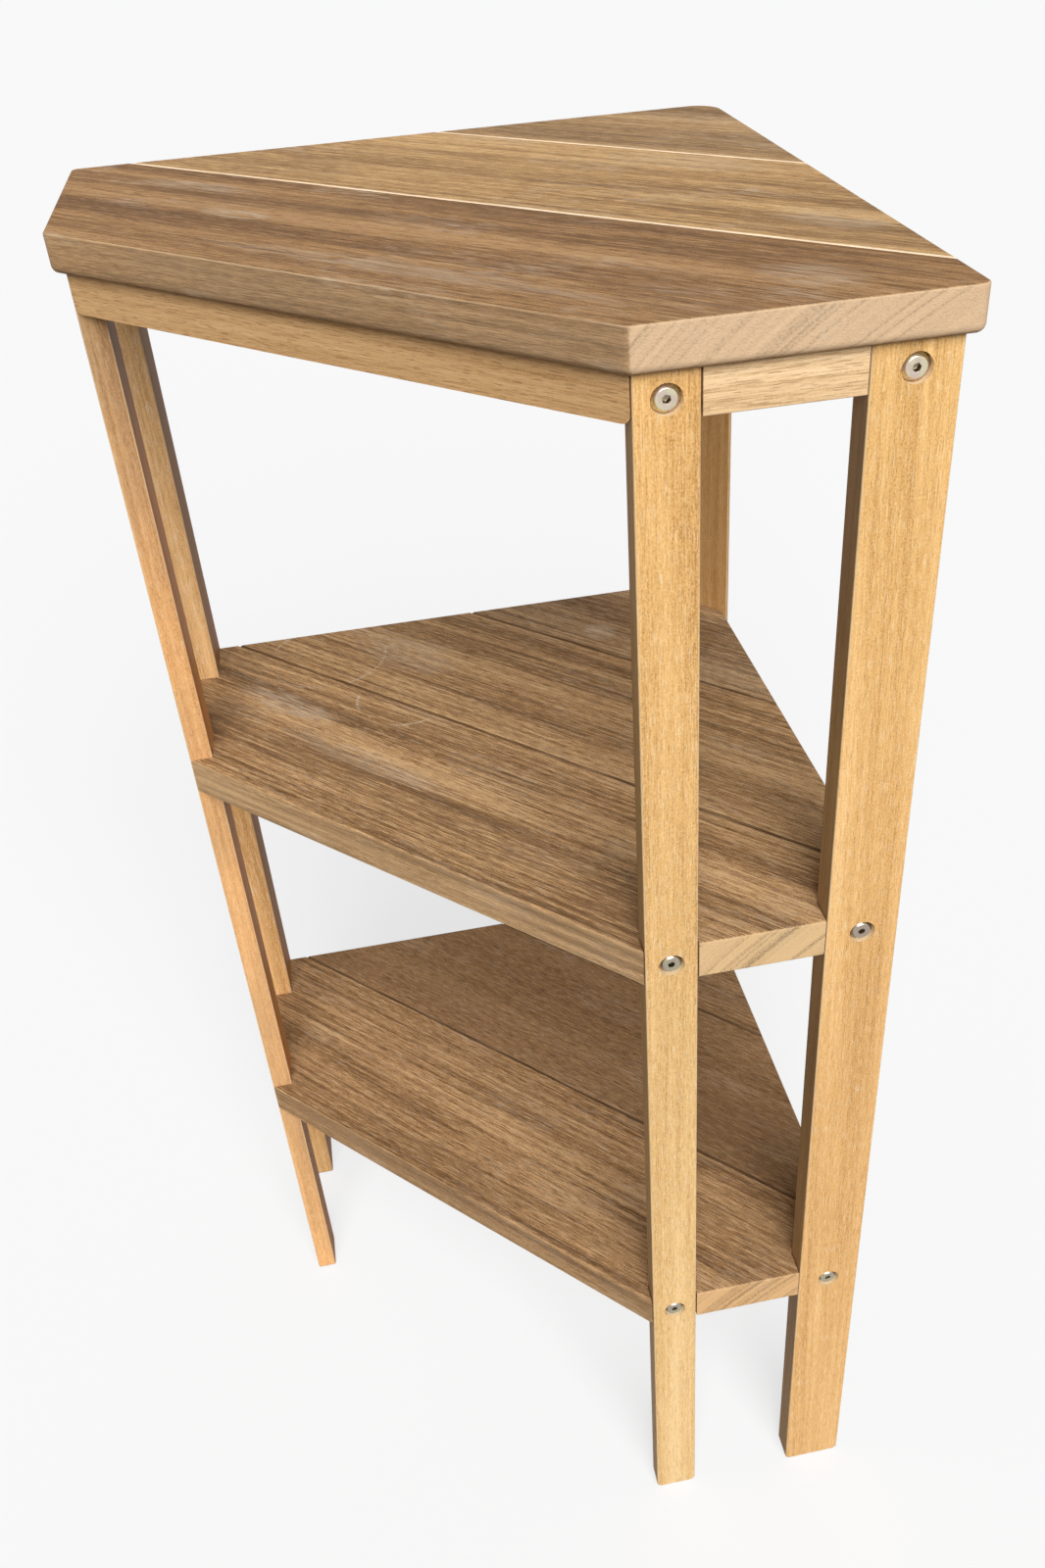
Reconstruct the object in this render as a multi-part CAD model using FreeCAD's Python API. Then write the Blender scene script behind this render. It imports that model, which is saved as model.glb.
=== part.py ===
import FreeCAD, Part
import math
import os
from collections import namedtuple

from FreeCAD import Rotation, Vector

# A wooden corner shelf with three tiers on five bolted legs. Millimetres, +Z up, front towards -Y.
# The origin is on the floor, under the middle of the top. The left half mirrors the right half.
# Plan places are given by two distances from the corner where the wall planes meet:
# the first along the right wall, the second along the left wall.

# Plan
WALL_LENGTH = 437.0        # from the corner to the outer faces of the side legs
SIDE_DEPTH = 160.0         # length of the short sides, which are square to the walls
REAR_CUT = 57.0            # wall length cut off at the rear corner of the shelves
WALL_OVERHANG = 7.0        # top past the wall planes and the short sides
FRONT_OVERHANG = 7.0       # top past the front rail

# Heights of the tiers' upper faces above the floor
TOP_HEIGHT = 1012.0
MIDDLE_HEIGHT = 630.0
LOWER_HEIGHT = 271.0

# Boards
TOP_THICKNESS = 24.0
SHELF_THICKNESS = 28.0
TOP_BOARD_DEPTH = 148.5    # front to back, of the top's front and middle boards
SHELF_BOARD_DEPTH = 139.0  # front to back, of a shelf's front and middle boards
BOARD_GAP = 0.1            # glue line between neighbouring boards
GROOVE_DEPTH = 1.8         # V groove along each glue line
TOP_ROUND = 5.0            # corners and lower edge of the top
REAR_ROUND = 20.0          # rear corner of the top
TOP_EASE = 1.2             # upper edge of the top
SHELF_EASE = 1.2           # upper and lower edges of the shelves

# Legs
FRONT_LEG_WIDTH = 33.0
FRONT_LEG_THICKNESS = 16.5
BACK_LEG_WIDTH = 46.0
BACK_LEG_THICKNESS = 20.0
REAR_LEG_THICKNESS = 20.0
REAR_LEG_PROUD = 5.0       # sides of the rear leg past the wall planes
LEG_EASE = 1.5             # long edges
FOOT_ROUND = 4.5           # lower corners of the slats
NOTCH_GAP = 0.7            # beside a leg in its notch

# Rails under the top
RAIL_HEIGHT = 25.0
FRONT_RAIL_THICKNESS = 16.0
SIDE_RAIL_WIDTH = 46.0
RAIL_CORNER = 5.0          # lower ends of the front rail
RAIL_EASE = 0.8            # lower edges of the side rails
RAIL_GAP = 0.3             # between the ends of the side rails and the front rail
BLOCK_DEPTH = 26.0         # rear block, front to back
BLOCK_INSET = 8.0          # rear block's ends inside the wall planes

# Leg bolts
SINK_DIAMETER = 16.0
SINK_DEPTH = 4.5
HEAD_DIAMETER = 15.2
HEAD_FLAT_DIAMETER = 10.6
HEAD_HEIGHT = 4.0
HEAD_RIM = 1.0
SHANK_DIAMETER = 6.0
SHANK_CLEARANCE = 0.3      # round the shank in the leg
SHANK_CHAMFER = 0.8
SOCKET_ACROSS = 4.0        # hex socket, across flats
SOCKET_DEPTH = 3.6
BOLT_REACH = 13.0          # shank past the leg
BOLT_DROP = 2.0            # uppermost bolts under the middle of the rails

# Threaded inserts
INSERT_DIAMETER = 9.5
INSERT_LENGTH = 15.0
THREAD_CLEARANCE = 0.1     # round the shank in the insert
INSERT_FIT = 0.05          # round the insert in the wood
INSERT_ROOM = 2.0          # hole past the insert

# Dowels
DOWEL_DIAMETER = 8.0
DOWEL_LENGTH = 36.0
DOWEL_CHAMFER = 0.8
DOWEL_FIT = 0.05
DOWEL_ROOM = 1.0           # hole past each end
FRONT_DOWEL_SHARES = (-0.6, 0.0, 0.6)   # of the front joint's half length
REAR_DOWEL_SHARES = (-0.5, 0.5)         # of the rear joint's half length

# Screws through the rails into the top
SCREW_DIAMETER = 4.0
SCREW_HEAD_DIAMETER = 8.0
SCREW_REACH = 15.0         # screw past the rail
SCREW_POINT = 4.0
SCREW_FIT = 0.1
FRONT_SCREW_SHARES = (-0.7, 0.0, 0.7)   # of the front rail's half length
SIDE_SCREW_SHARES = (0.25, 0.75)        # of the free length between the side legs
BLOCK_SCREW_SHARES = (-0.6, 0.6)        # of the rear block's half length

OVERRUN = 5.0              # cuts run this far past the wood
NEAR = 0.01                # two places closer than this are the same

ROOT2 = math.sqrt(2)
HEX_SIDES = 6
UP = Vector(0, 0, 1)
REARWARD = Vector(0, 1, 0)
OUT_RIGHT = Vector(1 / ROOT2, -1 / ROOT2, 0)
ORIGIN = Vector(0, 0, 0)
ACROSS = Vector(1, 0, 0)

# Reaches: sums of the two wall distances, each a line across the plan, parallel to the front
SHELF_FRONT = WALL_LENGTH + SIDE_DEPTH
TOP_FRONT = SHELF_FRONT + FRONT_OVERHANG * ROOT2
RAIL_BACK = SHELF_FRONT - FRONT_RAIL_THICKNESS * ROOT2
REAR_LEG_BACK = REAR_CUT - REAR_LEG_THICKNESS * ROOT2
BLOCK_FRONT = REAR_CUT + BLOCK_DEPTH * ROOT2

TOP_REAR_Y = WALL_OVERHANG * ROOT2 - REAR_ROUND * (ROOT2 - 1)
CORNER_Y = (TOP_FRONT / ROOT2 - TOP_REAR_Y) / 2

LEG_TOP = TOP_HEIGHT - TOP_THICKNESS
RAIL_BOTTOM = LEG_TOP - RAIL_HEIGHT
BOLT_HEIGHTS = (
    LEG_TOP - RAIL_HEIGHT / 2 - BOLT_DROP,
    MIDDLE_HEIGHT - SHELF_THICKNESS / 2,
    LOWER_HEIGHT - SHELF_THICKNESS / 2,
)

Tier = namedtuple("Tier", "name height thickness front board_depth")
TOP = Tier("top", TOP_HEIGHT, TOP_THICKNESS, TOP_FRONT, TOP_BOARD_DEPTH)
MIDDLE = Tier("middle_shelf", MIDDLE_HEIGHT, SHELF_THICKNESS, SHELF_FRONT, SHELF_BOARD_DEPTH)
LOWER = Tier("lower_shelf", LOWER_HEIGHT, SHELF_THICKNESS, SHELF_FRONT, SHELF_BOARD_DEPTH)

# A bolted seat: a point of the leg's outer face at floor level, the way out of the leg, the leg's thickness
Seat = namedtuple("Seat", "base out thickness")


def plan(right, left, z=0):
    """Point at the given distances along the right and the left wall."""
    return Vector((right - left) / ROOT2, CORNER_Y - (right + left) / ROOT2, z)


def line_y(reach):
    """Y of the line across the plan where the two wall distances add up to reach."""
    return CORNER_Y - reach / ROOT2


def prism(places, bottom, height):
    """Upright solid over a closed outline of (right, left) places."""
    points = [plan(right, left, bottom) for right, left in places]
    return Part.Face(Part.makePolygon(points + points[:1])).extrude(UP * height)


def slab_strip(front_y, rear_y, tier):
    """Box over a tier's whole width and thickness, between two lines across the plan."""
    size = Vector(WALL_LENGTH * 2, rear_y - front_y, tier.thickness + OVERRUN * 2)
    corner = Vector(-WALL_LENGTH, front_y, tier.height - tier.thickness - OVERRUN)
    return Part.makeBox(size.x, size.y, size.z, corner)


def rod(radius, start, direction, length):
    return Part.makeCylinder(radius, length, start, direction)


def turned(profile):
    """Solid of revolution round Z from (radius, z) points that start and end on the axis."""
    points = [Vector(radius, 0, z) for radius, z in profile]
    return Part.Face(Part.makePolygon(points + points[:1])).revolve(ORIGIN, UP, 360)


def placed(solid, base, direction):
    """Copy of a solid made along +Z, moved to base and turned to the direction."""
    copy = solid.copy()
    copy.Placement = FreeCAD.Placement(base, Rotation(UP, direction))
    return copy


def mirrored(shape):
    return shape.mirror(ORIGIN, ACROSS)


def cut_all(solid, tools):
    return solid.cut(Part.makeCompound(tools)) if tools else solid


def solid_of(shape):
    """The one solid in the result of a cut."""
    solids = shape.Solids
    if len(solids) != 1:
        raise ValueError(f"expected one solid, found {len(solids)}")
    return solids[0]


def upright_edges(solid):
    return [edge for edge in solid.Edges
            if edge.BoundBox.XLength < NEAR and edge.BoundBox.YLength < NEAR]


def edges_level(solid, z):
    return [edge for edge in solid.Edges
            if abs(edge.BoundBox.ZMin - z) < NEAR and abs(edge.BoundBox.ZMax - z) < NEAR]


def edges_in_plane(solid, base, normal):
    """Edges that lie in a plane, judged by their ends and their middle."""
    def lies(edge):
        middle = edge.valueAt((edge.FirstParameter + edge.LastParameter) / 2)
        points = [vertex.Point for vertex in edge.Vertexes] + [middle]
        return all(abs((point - base).dot(normal)) < NEAR for point in points)
    return [edge for edge in solid.Edges if lies(edge)]


# Tiers

def joint_reaches(tier):
    """Reaches of the glue lines behind the front and the middle board."""
    step = tier.board_depth * ROOT2
    return tier.front - step, tier.front - step * 2


def top_slab():
    """The whole top, before it is divided into boards."""
    side = WALL_LENGTH + WALL_OVERHANG
    back = -WALL_OVERHANG
    outline = [(back, back), (side, back), (side, TOP_FRONT - side), (TOP_FRONT - side, side), (back, side)]
    bottom = TOP.height - TOP.thickness
    slab = prism(outline, bottom, TOP.thickness)
    rear = [edge for edge in upright_edges(slab) if edge.BoundBox.YMax > plan(0, 0).y]
    slab = slab.makeFillet(REAR_ROUND, rear)
    corners = [edge for edge in upright_edges(slab) if edge.BoundBox.YMax < plan(back, REAR_ROUND + back).y - NEAR]
    slab = slab.makeFillet(TOP_ROUND, corners + edges_level(slab, bottom))
    return slab.makeFillet(TOP_EASE, edges_level(slab, TOP.height))


def shelf_slab(tier):
    """A whole shelf with its rear corner cut off and notches for the four side legs."""
    outline = [(REAR_CUT, 0), (WALL_LENGTH, 0), (WALL_LENGTH, SIDE_DEPTH),
               (SIDE_DEPTH, WALL_LENGTH), (0, WALL_LENGTH), (0, REAR_CUT)]
    bottom = tier.height - tier.thickness
    slab = prism(outline, bottom, tier.thickness)
    slab = slab.makeFillet(SHELF_EASE, edges_level(slab, bottom) + edges_level(slab, tier.height))
    notches = leg_notches(bottom - OVERRUN, tier.thickness + OVERRUN * 2)
    return cut_all(slab, notches + [mirrored(notch) for notch in notches])


def leg_notches(bottom, height):
    """Room for the two right legs in whatever stands between the given heights."""
    outside = WALL_LENGTH + OVERRUN
    front_seat = WALL_LENGTH - FRONT_LEG_THICKNESS
    back_seat = WALL_LENGTH - BACK_LEG_THICKNESS
    near = SIDE_DEPTH - FRONT_LEG_WIDTH - NOTCH_GAP
    far = SIDE_DEPTH + NOTCH_GAP
    inner = BACK_LEG_WIDTH + NOTCH_GAP
    front = prism([(front_seat, near), (outside, near), (outside, far), (front_seat, far)], bottom, height)
    back = prism([(back_seat, -OVERRUN), (outside, -OVERRUN), (outside, inner), (back_seat, inner)], bottom, height)
    return [front, back]


def groove(tier, reach):
    """V groove along a glue line, cut from above."""
    y = line_y(reach)
    half = GROOVE_DEPTH + OVERRUN
    section = [Vector(-WALL_LENGTH, y - half, tier.height + OVERRUN),
               Vector(-WALL_LENGTH, y + half, tier.height + OVERRUN),
               Vector(-WALL_LENGTH, y, tier.height - GROOVE_DEPTH)]
    return Part.Face(Part.makePolygon(section + section[:1])).extrude(ACROSS * WALL_LENGTH * 2)


def dowel_places(tier):
    """Middle points of a tier's dowels, on its glue lines."""
    front, rear = joint_reaches(tier)
    z = tier.height - tier.thickness / 2
    places = [Vector(share * front / ROOT2, line_y(front), z) for share in FRONT_DOWEL_SHARES]
    return places + [Vector(share * rear / ROOT2, line_y(rear), z) for share in REAR_DOWEL_SHARES]


def dowel():
    radius = DOWEL_DIAMETER / 2
    half = DOWEL_LENGTH / 2
    return turned([(0, -half), (radius - DOWEL_CHAMFER, -half), (radius, -half + DOWEL_CHAMFER),
                   (radius, half - DOWEL_CHAMFER), (radius - DOWEL_CHAMFER, half), (0, half)])


def dowel_hole(place):
    length = DOWEL_LENGTH + DOWEL_ROOM * 2
    return rod(DOWEL_DIAMETER / 2 + DOWEL_FIT, place - REARWARD * (length / 2), REARWARD, length)


def divided(slab, tier, holes):
    """The slab's front, middle and rear board, grooved and drilled."""
    front, rear = joint_reaches(tier)
    half_gap = BOARD_GAP / 2
    lines = [line_y(tier.front) - OVERRUN, line_y(front), line_y(rear), plan(0, 0).y + REAR_ROUND]
    tools = [groove(tier, front), groove(tier, rear)] + holes
    boards = []
    for near, far in zip(lines[:-1], lines[1:]):
        board = slab.common(slab_strip(near + half_gap, far - half_gap, tier))
        boards.append(solid_of(cut_all(board, tools)))
    return boards


# Legs and their bolts

def right_seats():
    """Bolted seats of the two right legs."""
    return (Seat(plan(WALL_LENGTH, SIDE_DEPTH - FRONT_LEG_WIDTH / 2), OUT_RIGHT, FRONT_LEG_THICKNESS),
            Seat(plan(WALL_LENGTH, BACK_LEG_WIDTH / 2), OUT_RIGHT, BACK_LEG_THICKNESS))


def rear_seat():
    return Seat(plan(REAR_LEG_BACK / 2, REAR_LEG_BACK / 2), REARWARD, REAR_LEG_THICKNESS)


def bolt_holes(seat):
    """Counterbores and through holes of a leg."""
    tools = []
    for z in BOLT_HEIGHTS:
        face = seat.base + UP * z
        tools.append(rod(SINK_DIAMETER / 2, face + seat.out * OVERRUN, -seat.out, SINK_DEPTH + OVERRUN))
        tools.append(rod(SHANK_DIAMETER / 2 + SHANK_CLEARANCE, face, -seat.out, seat.thickness + OVERRUN))
    return tools


def slat_leg(seat, width):
    """Upright slat with rounded lower corners and eased long edges."""
    across = seat.out.cross(UP)
    half = across * (width / 2)
    corners = [seat.base - half, seat.base + half, seat.base + half + UP * LEG_TOP, seat.base - half + UP * LEG_TOP]
    slat = Part.Face(Part.makePolygon(corners + corners[:1])).extrude(-seat.out * seat.thickness)
    ends = [edge for edge in edges_level(slat, 0)
            if abs(abs((edge.CenterOfMass - seat.base).dot(across)) - width / 2) < NEAR]
    slat = slat.makeFillet(FOOT_ROUND, ends)
    faces = edges_in_plane(slat, seat.base, seat.out)
    faces += edges_in_plane(slat, seat.base - seat.out * seat.thickness, seat.out)
    slat = slat.makeFillet(LEG_EASE, [edge for edge in faces if edge.BoundBox.ZMin < LEG_TOP - NEAR])
    return solid_of(cut_all(slat, bolt_holes(seat)))


def corner_leg():
    """Rear leg: a slat across the corner, its sides bevelled to lie along the walls."""
    side = -REAR_LEG_PROUD
    outline = [(REAR_CUT - side, side), (REAR_LEG_BACK - side, side),
               (side, REAR_LEG_BACK - side), (side, REAR_CUT - side)]
    leg = prism(outline, 0, LEG_TOP)
    leg = leg.makeFillet(LEG_EASE, upright_edges(leg) + edges_level(leg, 0))
    return solid_of(cut_all(leg, bolt_holes(rear_seat())))


def bolt(thickness):
    """Bolt with a flat bevelled head and a hex socket; z = 0 is the leg's outer face, +Z points out."""
    seat = -SINK_DEPTH
    head = seat + HEAD_HEIGHT
    tip = -thickness - BOLT_REACH
    shank = SHANK_DIAMETER / 2
    body = turned([(0, head), (HEAD_FLAT_DIAMETER / 2, head), (HEAD_DIAMETER / 2, seat + HEAD_RIM),
                   (HEAD_DIAMETER / 2, seat), (shank, seat), (shank, tip + SHANK_CHAMFER),
                   (shank - SHANK_CHAMFER, tip), (0, tip)])
    corner = SOCKET_ACROSS / math.sqrt(3)
    turn = 2 * math.pi / HEX_SIDES
    hexagon = [Vector(corner * math.cos(turn * n), corner * math.sin(turn * n), head - SOCKET_DEPTH)
               for n in range(HEX_SIDES)]
    socket = Part.Face(Part.makePolygon(hexagon + hexagon[:1])).extrude(UP * (SOCKET_DEPTH + OVERRUN))
    return solid_of(body.cut(socket))


def leg_bolts(seat):
    one = bolt(seat.thickness)
    return Part.makeCompound([placed(one, seat.base + UP * z, seat.out) for z in BOLT_HEIGHTS])


def insert(seat, z):
    """Threaded sleeve behind a leg, flush with the leg's seat."""
    face = seat.base - seat.out * seat.thickness + UP * z
    sleeve = rod(INSERT_DIAMETER / 2, face, -seat.out, INSERT_LENGTH)
    return sleeve.cut(rod(SHANK_DIAMETER / 2 + THREAD_CLEARANCE, face + seat.out * OVERRUN, -seat.out,
                          INSERT_LENGTH + OVERRUN * 2))


def insert_hole(seat, z):
    face = seat.base - seat.out * (seat.thickness - OVERRUN) + UP * z
    return rod(INSERT_DIAMETER / 2 + INSERT_FIT, face, -seat.out, INSERT_LENGTH + INSERT_ROOM + OVERRUN)


def at_all_seats(make, z):
    """One shape per leg at the given height: both right legs, their mirror images and the rear leg."""
    right = [make(seat, z) for seat in right_seats()]
    return right + [mirrored(shape) for shape in right] + [make(rear_seat(), z)]


# Rails and screws under the top

def screw():
    """Countersunk wood screw, head down; z = 0 is the rail's lower face."""
    head = SCREW_HEAD_DIAMETER / 2
    shank = SCREW_DIAMETER / 2
    length = RAIL_HEIGHT + SCREW_REACH
    return turned([(0, 0), (head, 0), (shank, head - shank), (shank, length - SCREW_POINT), (0, length)])


def screw_holes(places):
    """Countersunk holes through a rail, running on into the top."""
    shank = SCREW_DIAMETER / 2 + SCREW_FIT
    head = SCREW_HEAD_DIAMETER / 2 + SCREW_FIT
    tools = []
    for place in places:
        tools.append(Part.makeCone(head, shank, head - shank, place, UP))
        tools.append(rod(shank, place, UP, RAIL_HEIGHT + SCREW_REACH))
    return tools


def front_rail_half():
    """Half length of the front rail, to the tips beside the front legs."""
    return plan(WALL_LENGTH - NOTCH_GAP, SIDE_DEPTH + NOTCH_GAP).x


def front_screw_places():
    y = line_y(SHELF_FRONT) + FRONT_RAIL_THICKNESS / 2
    return [Vector(share * front_rail_half(), y, RAIL_BOTTOM) for share in FRONT_SCREW_SHARES]


def side_screw_places():
    free = SIDE_DEPTH - FRONT_LEG_WIDTH - BACK_LEG_WIDTH
    middle = WALL_LENGTH - SIDE_RAIL_WIDTH / 2
    return [plan(middle, BACK_LEG_WIDTH + share * free, RAIL_BOTTOM) for share in SIDE_SCREW_SHARES]


def block_screw_places():
    half = (REAR_CUT - BLOCK_INSET * 2 + BLOCK_FRONT) / 2 / ROOT2
    y = line_y((REAR_CUT + BLOCK_FRONT) / 2)
    return [Vector(share * half, y, RAIL_BOTTOM) for share in BLOCK_SCREW_SHARES]


def front_rail():
    """Rail along the front, lower ends rounded, cut at 45 degrees against the front legs."""
    half = front_rail_half()
    corner = Vector(-half, line_y(SHELF_FRONT), RAIL_BOTTOM)
    rail = Part.makeBox(half * 2, FRONT_RAIL_THICKNESS, RAIL_HEIGHT, corner)
    ends = [edge for edge in edges_level(rail, RAIL_BOTTOM) if edge.BoundBox.XLength < NEAR]
    rail = rail.makeFillet(RAIL_CORNER, ends)
    side = SIDE_DEPTH + NOTCH_GAP
    mitre = prism([(SHELF_FRONT - side, side), (RAIL_BACK - side, side), (side, RAIL_BACK - side),
                   (side, SHELF_FRONT - side)], RAIL_BOTTOM - OVERRUN, RAIL_HEIGHT + OVERRUN * 2)
    return solid_of(cut_all(rail.common(mitre), screw_holes(front_screw_places())))


def side_rail():
    """Right rail under the short side, notched for both right legs."""
    inner = WALL_LENGTH - SIDE_RAIL_WIDTH
    end = RAIL_BACK - RAIL_GAP * ROOT2
    rail = prism([(inner, 0), (WALL_LENGTH, 0), (WALL_LENGTH, end - WALL_LENGTH), (inner, end - inner)],
                 RAIL_BOTTOM, RAIL_HEIGHT)
    rail = rail.makeFillet(RAIL_EASE, edges_level(rail, RAIL_BOTTOM))
    tools = leg_notches(RAIL_BOTTOM - OVERRUN, RAIL_HEIGHT + OVERRUN * 2)
    tools += [insert_hole(seat, BOLT_HEIGHTS[0]) for seat in right_seats()]
    return solid_of(cut_all(rail, tools + screw_holes(side_screw_places())))


def rear_block():
    """Block under the rear of the top, behind which the rear leg is bolted."""
    inset = BLOCK_INSET
    outline = [(REAR_CUT - inset, inset), (BLOCK_FRONT - inset, inset),
               (inset, BLOCK_FRONT - inset), (inset, REAR_CUT - inset)]
    block = prism(outline, RAIL_BOTTOM, RAIL_HEIGHT)
    tools = screw_holes(block_screw_places()) + [insert_hole(rear_seat(), BOLT_HEIGHTS[0])]
    return solid_of(cut_all(block, tools))


def build():
    """All pieces by name."""
    side_places = side_screw_places()
    screw_places = front_screw_places() + side_places + block_screw_places()
    screw_places += [Vector(-place.x, place.y, place.z) for place in side_places]
    nodes = {}
    slabs = (top_slab(), shelf_slab(MIDDLE), shelf_slab(LOWER))
    for tier, slab, z in zip((TOP, MIDDLE, LOWER), slabs, BOLT_HEIGHTS):
        places = dowel_places(tier)
        holes = [dowel_hole(place) for place in places]
        holes += screw_holes(screw_places) if tier is TOP else at_all_seats(insert_hole, z)
        for part, board in zip(("front", "middle", "rear"), divided(slab, tier, holes)):
            nodes[f"{tier.name}_{part}_board"] = board
        peg = dowel()
        nodes[f"{tier.name}_dowels"] = Part.makeCompound([placed(peg, place, REARWARD) for place in places])
        nodes[f"{tier.name}_inserts"] = Part.makeCompound(at_all_seats(insert, z))

    for part, seat, width in zip(("front", "back"), right_seats(), (FRONT_LEG_WIDTH, BACK_LEG_WIDTH)):
        leg = slat_leg(seat, width)
        bolts = leg_bolts(seat)
        nodes[f"right_{part}_leg"] = leg
        nodes[f"left_{part}_leg"] = mirrored(leg)
        nodes[f"right_{part}_leg_bolts"] = bolts
        nodes[f"left_{part}_leg_bolts"] = mirrored(bolts)
    nodes["rear_leg"] = corner_leg()
    nodes["rear_leg_bolts"] = leg_bolts(rear_seat())

    rail = side_rail()
    nodes["front_rail"] = front_rail()
    nodes["right_side_rail"] = rail
    nodes["left_side_rail"] = mirrored(rail)
    nodes["rear_block"] = rear_block()
    fixing = screw()
    nodes["rail_screws"] = Part.makeCompound([placed(fixing, place, UP) for place in screw_places])
    return nodes


os.makedirs("parts", exist_ok=True)
for name, shape in build().items():
    shape.exportStep(f"parts/{name}.step")
    box = shape.BoundBox
    print(f"{name}: {len(shape.Solids)} solids, {shape.Volume / 1000:.1f} cm3, valid {shape.isValid()}, "
          f"{box.XLength:.1f} x {box.YLength:.1f} x {box.ZLength:.1f}")
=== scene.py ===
"""Looks of a wooden corner shelf: three tiers of boards on five bolted legs.

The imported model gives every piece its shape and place. This script finishes the pieces, models the leg
bolts with softened edges, and sets up the studio and the camera.
Lengths are in metres, +Z is up and the front faces -Y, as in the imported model.
"""

import logging
import math
from dataclasses import dataclass, field, replace
from enum import Enum
from typing import Dict, List, Optional, Sequence, Tuple, Union

import bpy
from mathutils import Euler, Matrix, Vector


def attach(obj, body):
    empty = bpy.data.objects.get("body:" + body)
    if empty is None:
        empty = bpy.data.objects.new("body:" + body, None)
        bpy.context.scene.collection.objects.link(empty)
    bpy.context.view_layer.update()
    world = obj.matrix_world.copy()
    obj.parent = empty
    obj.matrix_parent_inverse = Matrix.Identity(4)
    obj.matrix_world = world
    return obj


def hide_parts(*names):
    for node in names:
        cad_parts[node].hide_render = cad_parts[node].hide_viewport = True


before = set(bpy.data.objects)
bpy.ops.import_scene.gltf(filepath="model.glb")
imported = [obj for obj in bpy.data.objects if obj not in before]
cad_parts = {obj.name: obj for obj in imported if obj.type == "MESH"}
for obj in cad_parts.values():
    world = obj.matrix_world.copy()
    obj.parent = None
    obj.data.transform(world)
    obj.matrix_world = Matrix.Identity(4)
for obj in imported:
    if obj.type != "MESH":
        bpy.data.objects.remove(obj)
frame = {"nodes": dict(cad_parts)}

LOG = logging.getLogger("corner_shelf")
BODY = "root"
SOCKET_MARK = "socket_depth"

Piece = bpy.types.Object
Nodes = Dict[str, Piece]
Socket = bpy.types.NodeSocket
Pair = Tuple[float, float]
Triple = Tuple[float, float, float]
Colour = Tuple[float, float, float]
Feed = Union[float, Sequence[float], Socket]
Stop = Tuple[float, Colour]
Layer = Tuple[Socket, Feed]

QUARTER = math.pi / 2
EIGHTH = math.pi / 4
NOISE_MIDDLE = 0.5


@dataclass(frozen=True)
class Pattern:
    """A noise: its patches per metre along each axis, and how many finer layers are added.

    A flat one reads only the first two axes.
    """

    scale: Triple
    detail: float = 1.0
    flat: bool = False


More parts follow.
